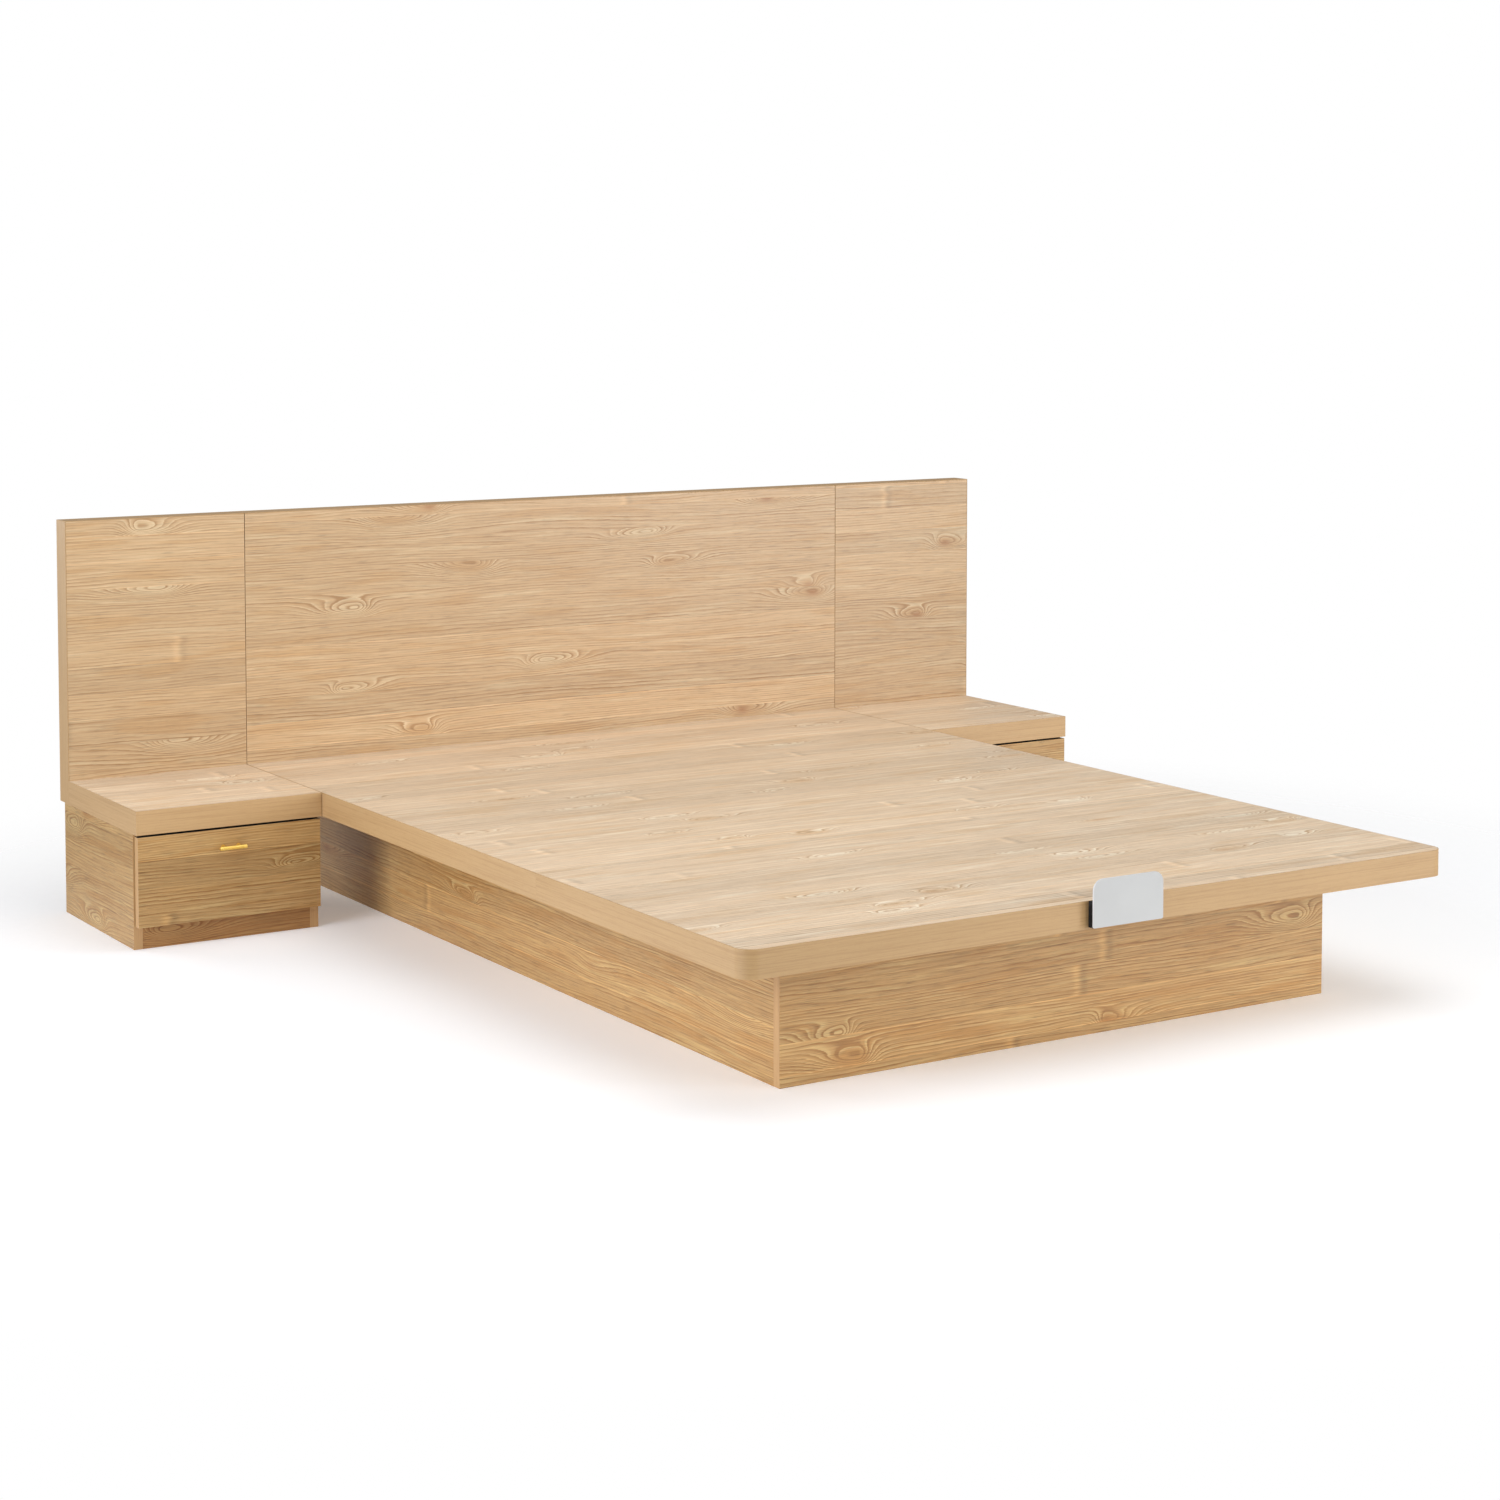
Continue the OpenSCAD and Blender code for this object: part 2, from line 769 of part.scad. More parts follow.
kick_board(LEFT);  // left_kick_board
drawer_front(LEFT);  // left_drawer_front
drawer_sides(LEFT);  // left_drawer_sides
drawer_ends(LEFT);  // left_drawer_ends
drawer_bottom(LEFT);  // left_drawer_bottom
cabinet_slides(LEFT);  // left_cabinet_slides
middle_slides(LEFT);  // left_middle_slides
drawer_slides(LEFT);  // left_drawer_slides
handle(LEFT);  // left_handle
drawer_screws(LEFT);  // left_drawer_screws
top_board(RIGHT);  // right_top_board
top_battens(RIGHT);  // right_top_battens
top_edging(RIGHT);  // right_top_edging
side_panel(RIGHT, [outer_face, half_w]);  // right_side_outer
side_panel(RIGHT, [carcass_in, inner_face]);  // right_side_inner
back_panel(RIGHT);  // right_back_panel
bottom_panel(RIGHT);  // right_bottom_panel
kick_board(RIGHT);  // right_kick_board
drawer_front(RIGHT);  // right_drawer_front
drawer_sides(RIGHT);  // right_drawer_sides
drawer_ends(RIGHT);  // right_drawer_ends
drawer_bottom(RIGHT);  // right_drawer_bottom
cabinet_slides(RIGHT);  // right_cabinet_slides
middle_slides(RIGHT);  // right_middle_slides
drawer_slides(RIGHT);  // right_drawer_slides
handle(RIGHT);  // right_handle
drawer_screws(RIGHT);  // right_drawer_screws
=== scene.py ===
import json
import math

import bmesh
import bpy
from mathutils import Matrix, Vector

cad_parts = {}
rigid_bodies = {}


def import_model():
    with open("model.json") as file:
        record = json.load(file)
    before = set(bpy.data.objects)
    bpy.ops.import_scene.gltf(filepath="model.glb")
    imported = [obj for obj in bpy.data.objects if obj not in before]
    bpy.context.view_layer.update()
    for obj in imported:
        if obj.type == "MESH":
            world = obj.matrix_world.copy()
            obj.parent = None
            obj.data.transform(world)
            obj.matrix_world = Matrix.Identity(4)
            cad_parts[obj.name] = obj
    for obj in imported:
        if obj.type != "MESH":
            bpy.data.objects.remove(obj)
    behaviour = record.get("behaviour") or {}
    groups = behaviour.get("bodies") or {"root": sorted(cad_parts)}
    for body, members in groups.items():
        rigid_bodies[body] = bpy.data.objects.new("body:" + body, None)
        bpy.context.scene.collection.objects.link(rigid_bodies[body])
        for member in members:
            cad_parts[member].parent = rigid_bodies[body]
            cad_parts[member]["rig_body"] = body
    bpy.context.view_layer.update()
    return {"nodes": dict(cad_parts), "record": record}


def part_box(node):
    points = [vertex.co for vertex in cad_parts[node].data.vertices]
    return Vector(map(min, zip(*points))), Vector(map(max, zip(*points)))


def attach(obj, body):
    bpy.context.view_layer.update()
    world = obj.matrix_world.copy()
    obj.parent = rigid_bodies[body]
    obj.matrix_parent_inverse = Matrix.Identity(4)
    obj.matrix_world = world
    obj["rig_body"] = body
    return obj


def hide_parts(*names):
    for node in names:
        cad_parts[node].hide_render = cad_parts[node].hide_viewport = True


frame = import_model()

# A low platform bed in wood-look laminate: a wide panelled headboard, a thick-edged deck on a
# recessed plinth, a mattress stop and two nightstands with one drawer each. Metres throughout.
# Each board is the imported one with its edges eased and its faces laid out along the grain.

MM = 0.001
# The middle of the joint between the deck's two boards, which the lamps face
DECK_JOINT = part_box("deck_head_board")[0].lerp(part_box("deck_foot_board")[1], 0.5)


# ---- Formulas over shader nodes ----------------------------------------------------------------

class Wire:
    """A number that changes over the surface. Arithmetic on it adds Math nodes."""

    def __init__(self, graph, socket):
        self.graph = graph
        self.socket = socket

    def __add__(self, other):
        return self.graph.math("ADD", self, other)

    def __sub__(self, other):
        return self.graph.math("SUBTRACT", self, other)

    def __rsub__(self, other):
        return self.graph.math("SUBTRACT", other, self)

    def __mul__(self, other):
        return self.graph.math("MULTIPLY", self, other)

    def __truediv__(self, other):
        return self.graph.math("DIVIDE", self, other)

    __radd__ = __add__
    __rmul__ = __mul__


class Graph:
    """Adds nodes to one material's tree."""

    def __init__(self, material):
        material.use_nodes = True
        self.tree = material.node_tree
        self.shader = self.tree.nodes["Principled BSDF"]

    def node(self, kind, **settings):
        made = self.tree.nodes.new("ShaderNode" + kind)
        for name, value in settings.items():
            setattr(made, name, value)
        return made

    def feed(self, socket, value):
        if isinstance(value, Wire):
            self.tree.links.new(value.socket, socket)
        elif isinstance(value, bpy.types.NodeSocket):
            self.tree.links.new(value, socket)
        else:
            socket.default_value = value

    def math(self, operation, *values):
        made = self.node("Math", operation=operation)
        for socket, value in zip(made.inputs, values):
            self.feed(socket, value)
        return Wire(self, made.outputs[0])

    def floor(self, value):
        return self.math("FLOOR", value)

    def fract(self, value):
        return self.math("FRACT", value)

    def bell(self, value):
        """1 where value is 0, falling away on both sides."""
        return self.math("EXPONENT", self.math("MULTIPLY", value, value) * -1)

    def step(self, value, low, high):
        """0 below low, 1 above high, and smooth between them."""
        made = self.node("MapRange", interpolation_type="SMOOTHSTEP", clamp=True)
        for name, given in (("Value", value), ("From Min", low), ("From Max", high)):
            self.feed(made.inputs[name], given)
        return Wire(self, made.outputs["Result"])

    def spread(self, value, low, high):
        """0 to 1 turned into low to high."""
        return value * (high - low) + low

    def place(self, x, y, z=0.0):
        made = self.node("CombineXYZ")
        for socket, value in zip(made.inputs, (x, y, z)):
            self.feed(socket, value)
        return made.outputs[0]

    def split(self, vector):
        made = self.node("SeparateXYZ")
        self.feed(made.inputs[0], vector)
        return [Wire(self, socket) for socket in made.outputs]

    def noise(self, x, y, z=0.0, detail=1.0, roughness=0.5):
        """Smooth noise from 0 to 1, with one bump for each unit of x and y."""
        made = self.node("TexNoise", noise_dimensions="3D")
        self.feed(made.inputs["Vector"], self.place(x, y, z))
        made.inputs["Scale"].default_value = 1.0
        made.inputs["Detail"].default_value = detail
        made.inputs["Roughness"].default_value = roughness
        return Wire(self, made.outputs["Fac"])

    def chance(self, x, y=0.0):
        """Three unrelated numbers from 0 to 1 for each whole x and y."""
        made = self.node("TexWhiteNoise", noise_dimensions="2D")
        self.feed(made.inputs["Vector"], self.place(x, y))
        return self.split(made.outputs["Color"])

    def blend(self, amount, first, second, how="MIX"):
        """first where amount is 0, second where it is 1. Both are colours."""
        made = self.node("Mix", data_type="RGBA", blend_type=how, clamp_factor=True)
        self.feed(made.inputs["Factor"], amount)
        self.feed(made.inputs["A"], first)
        self.feed(made.inputs["B"], second)
        return made.outputs["Result"]

    def lit(self, colour, light):
        """The colour with its three parts times light."""
        return self.blend(1.0, colour, self.place(light, light, light), how="MULTIPLY")

    def surface(self, colour, roughness):
        """Gives the shader its colour and its roughness."""
        self.feed(self.shader.inputs["Base Color"], colour)
        self.feed(self.shader.inputs["Roughness"], roughness)

    def bump(self, height, distance, strength=1.0):
        made = self.node("Bump")
        made.inputs["Strength"].default_value = strength
        made.inputs["Distance"].default_value = distance
        self.feed(made.inputs["Height"], height)
        self.feed(self.shader.inputs["Normal"], made.outputs["Normal"])


def srgb(*parts):
    """A colour given as 0 to 255 on a screen, as the renderer needs it."""
    scaled = [part / 255 for part in parts]
    return (*[s / 12.92 if s <= 0.04045 else ((s + 0.055) / 1.055) ** 2.4 for s in scaled], 1)


def new_material(name, roughness, metallic=0.0, specular=0.5):
    """A material and its graph. Most materials then vary the roughness about the one given."""
    material = bpy.data.materials.new(name)
    graph = Graph(material)
    graph.shader.inputs["Roughness"].default_value = roughness
    graph.shader.inputs["Metallic"].default_value = metallic
    graph.shader.inputs["Specular IOR Level"].default_value = specular
    return material, graph


# ---- Wood --------------------------------------------------------------------------------------

GRAIN = "grain"          # the UV layer that holds metres along and across the grain
STAVE_W = 54 * MM        # width of one printed stave
CELL_L = 0.52            # length of stave that holds one eye, one pale band or neither
CELL_END = 70 * MM       # the part at each end of a cell that an eye fades out in
RING = 6.8 * MM          # usual distance between growth lines


def grain_place(graph):
    """Metres along and across the grain."""
    made = graph.node("UVMap", uv_map=GRAIN)
    along, across, _ = graph.split(made.outputs["UV"])
    return along, across


class Stave:
    """The stave and the cell that a point lies in: its place in them and their own chances."""

    def __init__(self, g, along, across):
        row_place = across / STAVE_W
        self.row = g.floor(row_place)
        shift, self.tone, own = g.chance(self.row, 3.0)
        self.own = own * 90.0
        cell_place = along / CELL_L + shift * 5.0
        self.cell = g.floor(cell_place)
        self.kind, self.spot, self.size = g.chance(self.row, self.cell)
        self.x_share, self.y_share, self.lean = g.chance(self.cell, self.row + 40.0)
        self.x = g.fract(cell_place) * CELL_L
        self.y = (g.fract(row_place) - 0.5) * STAVE_W


def eye_marks(g, stave):
    """The eye that about half of the cells have, the zone round it and the knot in some.

    Eyes are often cut off by the stave's edge, steep on one side and long-tailed on the other.
    """
    dx = stave.x - g.spread(stave.x_share, 0.32, 0.68) * CELL_L
    tilt = dx * (stave.lean - 0.5) * 0.12
    dy = stave.y - g.spread(stave.y_share, -0.55, 0.55) * STAVE_W + tilt
    turned = g.step(stave.size, 0.49, 0.51) * 2.0 - 1.0
    tail = g.step(dx * turned, -10 * MM, 10 * MM) * (45 * MM)
    reach = tail + g.spread(stave.y_share, 26 * MM, 62 * MM)
    inside = g.step(stave.x, 0.0, CELL_END) * (1.0 - g.step(stave.x, CELL_L - CELL_END, CELL_L))
    has_eye = g.step(stave.kind, 0.52, 0.58) * inside
    eye = g.bell(dx / reach) * g.bell(dy / g.spread(stave.lean, 13 * MM, 24 * MM)) * has_eye
    zone = g.bell(dx / (reach * 1.5)) * g.bell(dy / (34 * MM)) * has_eye
    knot = g.bell(dx / (15 * MM)) * g.bell(dy / (7 * MM)) * g.step(stave.spot, 0.72, 0.76) * has_eye
    return dx, eye, zone, knot


def growth_level(g, stave, along, across, eye):
    """A surface that mostly slopes across the stave. The growth lines are its level lines."""
    drift = g.noise(along / 0.50, stave.y / 0.08, stave.own, detail=0.0)
    wander = g.noise(along / 0.07, stave.y / 0.02, stave.own + 5.0, detail=2.0)
    ragged = g.noise(along / 0.030, across / (2.0 * MM), stave.own, detail=1.0)
    slope = stave.y / RING * g.spread(stave.tone, 0.85, 1.25)
    return slope + drift * 5.0 + wander * 0.65 + eye * 6.4 + ragged * 0.30


def growth_lines(g, stave, along, level, zone):
    """The dark growth lines and the pale glow behind each, both stronger round an eye."""
    ring = g.floor(level)
    turn = level - ring
    strong, _, _ = g.chance(ring, stave.own)
    fade = g.noise(along / 0.16, level / 1.4, stave.own + 9.0, detail=1.0)
    force = g.spread(strong, 0.30, 1.0) * g.spread(g.step(fade, 0.36, 0.62), 0.25, 1.0)
    force = force * 0.90 + zone * 0.36
    line = g.step(turn, 0.46, 0.88) * (1.0 - g.step(turn, 0.89, 1.0)) * force
    glow = (1.0 - g.step(turn, 0.02, 0.40)) * (force * 0.6 + zone * 0.5)
    return line, glow


def curled_band(g, stave, dx):
    """Curled grain in some staves without an eye: a pale band across with a darker one beside it."""
    wobble = g.noise(stave.y / 0.012, stave.cell, stave.row, detail=0.0)
    place = dx / (9 * MM) + wobble * 1.8 - 0.9
    curl = g.bell(place) - g.bell(place - 1.6) * 0.8
    return curl * g.step(stave.spot, 0.60, 0.66) * (1.0 - g.step(stave.kind, 0.46, 0.50))


def growth_figure(g, along, across):
    """The printed figure by its parts. All go from 0 to 1, but band and rim also below 0."""
    stave = Stave(g, along, across)
    dx, eye, zone, knot = eye_marks(g, stave)
    level = growth_level(g, stave, along, across, eye)
    line, glow = growth_lines(g, stave, along, level, zone)
    heart = g.step(eye, 0.40, 0.90)
    ripe = g.step(stave.spot, 0.42, 0.46)
    from_rim = STAVE_W / 2 - g.math("ABSOLUTE", stave.y)
    own = stave.own
    pore = g.noise(along / (14 * MM), across / (0.6 * MM), 2.0, detail=0.0)
    dash = g.noise(along / 0.050, across / (1.8 * MM), 5.0, detail=1.0)
    return {
        "line": line,
        "glow": glow,
        "knot": knot,
        "pale_heart": heart * (1.0 - ripe),
        "warm_heart": heart * ripe,
        "tone": stave.tone,
        "streak": g.noise(along / 0.24, level * 0.6, own + 2.0, detail=2.0, roughness=0.6),
        "warmth": g.noise(along / 0.22, level * 0.30, own + 4.0, detail=1.0),
        "fibre": g.noise(along / 0.10, across / (1.4 * MM), 1.0, detail=2.0, roughness=0.7),
        "pores": g.step(pore, 0.66, 0.80),
        "dash": g.step(dash, 0.56, 0.70),
        "band": curled_band(g, stave, dx),
        "rim": g.bell(from_rim / (2.0 * MM)) * (stave.tone - 0.35),
    }


def print_wood(name, palette, contrast, knots, roughness):
    """Laminate printed with staves of oak, with a slightly pressed-in grain."""
    material, g = new_material(name, roughness)
    along, across = grain_place(g)
    f = growth_figure(g, along, across)
    colour, pale, dark, warm, knot = palette
    for amount, shade in (
        (g.step(f["streak"], 0.52, 0.72) * (0.50 * contrast), pale),
        (g.step(f["warmth"], 0.54, 0.68) * (0.55 * contrast), warm),
        (g.step(f["streak"], 0.48, 0.28) * (0.20 * contrast), dark),
        (f["glow"] * (0.85 * contrast), pale),
        (f["warm_heart"] * (0.60 * contrast), warm),
        (f["pale_heart"] * (0.60 * contrast), pale),
        (f["line"] * contrast, dark),
        (f["knot"] * knots, knot),
    ):
        colour = g.blend(amount, colour, shade)
    light = 1.0 + (f["tone"] - 0.5) * (0.12 * contrast) + (f["fibre"] - 0.5) * (0.52 * contrast)
    light = light + f["band"] * (0.13 * contrast) - f["pores"] * (0.10 * contrast)
    light = light + f["rim"] * (0.24 * contrast) - f["dash"] * (0.15 * contrast)
    gloss = (f["fibre"] - 0.5) * 0.16 + f["pores"] * 0.12 + f["line"] * 0.05 + roughness
    g.surface(g.lit(colour, light), gloss)
    g.bump(f["fibre"] * 0.5 - f["pores"] - f["line"] * 0.4, 0.06 * MM, 0.7)
    return material


def edge_band(name, base, dark, roughness):
    """Edging strip: even colour, with fine straight fibres along it."""
    material, g = new_material(name, roughness)
    along, across = grain_place(g)
    fibre = g.noise(along / 0.030, across / (0.9 * MM), 1.0, detail=2.0, roughness=0.65)
    streak = g.noise(along / 0.24, across / (3.2 * MM), 6.0, detail=2.0)
    cloud = g.noise(along / 0.35, across / 0.05, 9.0, detail=1.0)
    flecks = g.step(g.noise(along / (6 * MM), across / (0.5 * MM), 3.0, detail=0.0), 0.64, 0.80)
    amount = g.step(streak, 0.42, 0.72) * 0.34 + g.step(fibre, 0.45, 0.75) * 0.34 + flecks * 0.20
    colour = g.blend(amount, base, dark)
    light = 1.0 + (cloud - 0.5) * 0.10 + (fibre - 0.5) * 0.10
    g.surface(g.lit(colour, light), (fibre - 0.5) * 0.14 + flecks * 0.1 + roughness)
    g.bump(fibre * 0.6 - flecks, 0.05 * MM, 0.7)
    return material


def chip_board(name, base, dark, pale):
    """Cut or unfaced particle board: pressed flakes of two sizes."""
    roughness = 0.82
    material, g = new_material(name, roughness, specular=0.3)
    along, across = grain_place(g)
    colour = base
    height = 0.0
    for size, share in ((3.6 * MM, 0.42), (1.9 * MM, 0.36)):
        made = g.node("TexVoronoi", feature="F1", distance="EUCLIDEAN")
        made.inputs["Scale"].default_value = 1.0
        g.feed(made.inputs["Vector"], g.place(along / size, across / (size * 0.45), size / MM))
        shade, turn, _ = g.split(made.outputs["Color"])
        colour = g.blend(g.step(shade, 0.55, 0.75) * share, colour, dark)
        colour = g.blend(g.step(turn, 0.60, 0.80) * share, colour, pale)
        height = turn * share + height
    dust = g.noise(along / (0.8 * MM), across / (0.8 * MM), 4.0, detail=2.0)
    g.surface(g.lit(colour, dust * 0.3 + 0.85), roughness)
    g.bump(height + dust * 0.6, 0.15 * MM, 0.6)
    return material


PINE_W = 0.06            # width of pine that has its own shade and knots
PINE_CELL = 0.6          # length of pine that may hold one knot
PINE_RING = 7.5 * MM     # distance between pine's growth lines


def softwood(name, base, dark, knot_colour):
    """Planed pine: wide growth lines, a few knots, fine fibres."""
    material, g = new_material(name, 0.62, specular=0.35)
    along, across = grain_place(g)
    board = g.floor(across / PINE_W)
    own, kind, spot = g.chance(board, 8.0)
    cell_place = along / PINE_CELL + own * 7.0
    knot_x, knot_y, knot_chance = g.chance(g.floor(cell_place), board + 17.0)
    dx = (g.fract(cell_place) - g.spread(knot_x, 0.2, 0.8)) * PINE_CELL
    dy = (g.fract(across / PINE_W) - g.spread(knot_y, 0.2, 0.8)) * PINE_W
    here = g.step(knot_chance, 0.45, 0.5)
    bend = g.bell(dx / (28 * MM)) * g.bell(dy / (13 * MM)) * here
    drift = g.noise(along / 0.5, across / 0.05, own * 40.0, detail=1.0)
    turn = g.fract(across / PINE_RING + drift * 4.0 + bend * 4.0)
    line = g.step(turn, 0.35, 0.92) * (1.0 - g.step(turn, 0.93, 1.0))
    fibre = g.noise(along / 0.05, across / (0.9 * MM), 2.0, detail=2.0, roughness=0.6)
    knot = g.bell(dx / (8 * MM)) * g.bell(dy / (6 * MM)) * here
    colour = g.blend(line * 0.7, base, dark)
    colour = g.blend(knot, colour, knot_colour)
    light = 0.95 + (fibre - 0.5) * 0.14 + kind * 0.07 + spot * 0.03
    g.surface(g.lit(colour, light), fibre * 0.12 + 0.56)
    g.bump(fibre - line * 0.4, 0.08 * MM, 0.7)
    return material


# ---- Metal, paint and rubber -------------------------------------------------------------------

def object_place(graph):
    """Metres in the bed's own frame."""
    made = graph.node("TexCoord")
    return graph.split(made.outputs["Object"])


def satin_brass():
    """Brushed brass with fine lines round the bar and slightly duller patches."""
    material, g = new_material("satin_brass", 0.36, metallic=0.85)
    x, y, z = object_place(g)
    lines = g.noise(x / (0.25 * MM), y / (6 * MM), z / (6 * MM), detail=3.0, roughness=0.7)
    patch = g.noise(x / (14 * MM), y / (9 * MM), z / (9 * MM), detail=2.0)
    colour = g.blend(g.step(patch, 0.4, 0.7), srgb(240, 205, 110), srgb(228, 188, 90))
    g.surface(colour, lines * 0.10 + patch * 0.08 + 0.27)
    g.bump(lines, 0.01 * MM, 0.3)
    return material


def zinc_steel():
    """Zinc-plated sheet: pale blotches with a grey sheen and rolling lines."""
    material, g = new_material("zinc_steel", 0.34, metallic=1.0)
    x, y, z = object_place(g)
    blotch = g.noise(x / (6 * MM), y / (9 * MM), z / (6 * MM), detail=4.0, roughness=0.6)
    lines = g.noise(x / (0.6 * MM), y / (40 * MM), z / (0.6 * MM), detail=2.0)
    colour = g.blend(g.step(blotch, 0.35, 0.65), srgb(176, 180, 184), srgb(214, 216, 217))
    g.surface(colour, blotch * 0.20 + lines * 0.10 + 0.20)
    g.bump(lines * 0.6 + blotch, 0.03 * MM, 0.5)
    return material


def powder_coat(name, base, worn):
    """Light grey powder coat with its fine orange-peel surface."""
    material, g = new_material(name, 0.38)
    x, y, z = object_place(g)
    peel = g.noise(x / (1.1 * MM), y / (1.1 * MM), z / (1.1 * MM), detail=2.0)
    haze = g.noise(x / 0.05, y / 0.05, z / 0.05, detail=2.0)
    colour = g.blend(haze, base, worn)
    g.surface(colour, peel * 0.10 + haze * 0.06 + 0.30)
    g.bump(peel, 0.05 * MM, 0.6)
    return material


def matte_rubber():
    """Black moulded rubber with a dusty, finely pebbled skin."""
    material, g = new_material("matte_rubber", 0.75, specular=0.3)
    x, y, z = object_place(g)
    pebble = g.noise(x / (0.7 * MM), y / (0.7 * MM), z / (0.7 * MM), detail=3.0)
    dust = g.noise(x / (12 * MM), y / (12 * MM), z / (12 * MM), detail=3.0)
    colour = g.blend(g.step(dust, 0.45, 0.75), srgb(22, 21, 21), srgb(44, 42, 40))
    g.surface(colour, dust * 0.16 + 0.66)
    g.bump(pebble, 0.06 * MM, 0.7)
    return material


def shades(mid):
    """The colours of a print from its middle one: pale, dark, warm and knot."""
    parts = ((1.18, 1.34, 1.50), (0.71, 0.60, 0.47), (0.94, 0.85, 0.71), (0.70, 0.50, 0.35))
    return (mid, *[(*[m * part for m, part in zip(mid, row)], 1) for row in parts])


# Deck and nightstand tops: the same laminate as the other prints, painted paler and bluer as light
# and sheen from above.
oak_top = print_wood("oak_top", shades(srgb(234, 208, 176)), 1.3, 0.4, 0.48)
oak_face = print_wood("oak_face", shades(srgb(196, 163, 121)), 1.25, 0.9, 0.40)
# Low boards: the same laminate, painted darker and more saturated as the shade under the deck's
# overhang.
oak_low = print_wood("oak_low", shades(srgb(181, 142, 88)), 1.8, 0.8, 0.40)
# Kick boards: painted darker still, as the shade in the recess under the drawers.
oak_kick_painted_shade = print_wood("oak_kick_painted_shade", shades(srgb(167, 120, 66)), 1.6, 0.5, 0.42)
oak_edge = edge_band("oak_edge", srgb(194, 158, 110), srgb(162, 121, 75), 0.42)
# Near black, painted on the drawer fronts' top edges as the shade in the gap under the top.
reveal = edge_band("reveal", srgb(22, 16, 12), srgb(9, 7, 6), 0.70)
# Edging of the low boards, a little darker than oak_edge as painted shade.
low_edge_painted_shade = edge_band("low_edge_painted_shade", srgb(192, 152, 102), srgb(160, 118, 72), 0.42)
raw_board = chip_board("raw_board", srgb(196, 170, 132), srgb(150, 118, 80), srgb(218, 198, 164))
pine = softwood("pine", srgb(226, 198, 150), srgb(198, 156, 104), srgb(140, 92, 54))
brass = satin_brass()
steel = zinc_steel()
paint = powder_coat("powder_coat", srgb(201, 201, 199), srgb(192, 192, 190))
# Paler paint on the plate's rounded rim, as a painted highlight.
plate_rim_highlight = powder_coat("plate_rim_highlight", srgb(226, 226, 225), srgb(218, 218, 217))
rubber = matte_rubber()


# ---- Meshes ------------------------------------------------------------------------------------

AXES = {"X": 0, "Y": 1, "Z": 2}
SHARP = math.radians(35)     # edges with a larger angle than this are rounded
ROUND = 0.5 * MM             # how much is taken off most boards' edges, and off strips
TOP_ROUND = 0.3 * MM
KICK_ROUND = 0.3 * MM
HEADBOARD_ROUND = 0.6 * MM
FRONT_ROUND = 0.8 * MM
PLATE_ROUND = 1.0 * MM
HANDLE_ROUND = 0.25 * MM
SEED_ALONG = 3.7             # metres of print along and across from one seed to the next
SEED_ACROSS = 1.93


def new_object(name, bm, materials, smooth=True):
    """A mesh object from a bmesh, linked into the scene."""
    mesh = bpy.data.meshes.new(name)
    bm.to_mesh(mesh)
    bm.free()
    piece = bpy.data.objects.new(name, mesh)
    bpy.context.scene.collection.objects.link(piece)
    for material in materials:
        mesh.materials.append(material)
    for polygon in mesh.polygons:
        polygon.use_smooth = smooth
    return piece


def weigh_normals(piece):
    """Keeps large flat faces flat beside their small rounded edges."""
    modifier = piece.modifiers.new("flat_faces", "WEIGHTED_NORMAL")
    modifier.mode = "FACE_AREA"
    modifier.weight = 100
    modifier.keep_sharp = True


def add_piece(node, kind, bm, materials):
    """The piece takes a CAD node's place and moves with its body."""
    piece = new_object(f"{node}_{kind}", bm, materials)
    weigh_normals(piece)
    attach(piece, frame["nodes"][node]["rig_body"])
    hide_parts(node)


def clean_copy(node):
    """A CAD node's mesh with its corners welded and its flat faces whole."""
    bm = bmesh.new()
    bm.from_mesh(frame["nodes"][node].data)
    bmesh.ops.remove_doubles(bm, verts=bm.verts, dist=0.001 * MM)
    bmesh.ops.dissolve_limit(bm, angle_limit=math.radians(0.5), verts=bm.verts, edges=bm.edges)
    bm.normal_update()
    return bm


def direction(normal):
    """The axis that a normal mostly points along, as a name such as -Y."""
    axis = max(AXES, key=lambda name: abs(normal[AXES[name]]))
    return ("+" if normal[AXES[axis]] > 0 else "-") + axis


def ease_edges(bm, width, glued):
    """Rounds the sharp edges, apart from those of faces that are glued to another piece.

    glued names the ways that such faces look. "inner" is all that look to the piece's middle.
    """
    middle = sum((v.co for v in bm.verts), Vector()) / len(bm.verts)
    inner = set()
    for face in bm.faces:
        away = face.normal.dot(face.calc_center_median() - middle)
        if direction(face.normal) in glued or ("inner" in glued and away < 0):
            inner.add(face)
    chosen = []
    for edge in bm.edges:
        if len(edge.link_faces) != 2 or edge.calc_face_angle() < SHARP:
            continue
        if not inner.intersection(edge.link_faces):
            chosen.append(edge)
    bmesh.ops.bevel(
        bm, geom=chosen, offset=width, segments=2, profile=0.5, affect="EDGES", clamp_overlap=True
    )
    bm.normal_update()


def board_runs(along, thickness):
    """For each way that a board's face looks, the axes along and across its grain."""
    other = next(name for name in AXES if name not in (along, thickness))
    return {thickness: (along, other), other: (along, thickness), along: (other, thickness)}


def lay_grain(bm, runs, face_axis, seed):
    """Gives each face metres along and across the grain, and marks the board's edges with slot 1."""
    layer = bm.loops.layers.uv.new(GRAIN)
    for face in bm.faces:
        facing = direction(face.normal)[1]
        u, v = (AXES[name] for name in runs[facing])
        face.material_index = 0 if facing == face_axis else 1
        for loop in face.loops:
            place = loop.vert.co
            loop[layer].uv = (place[u] + seed * SEED_ALONG, place[v] + seed * SEED_ACROSS)


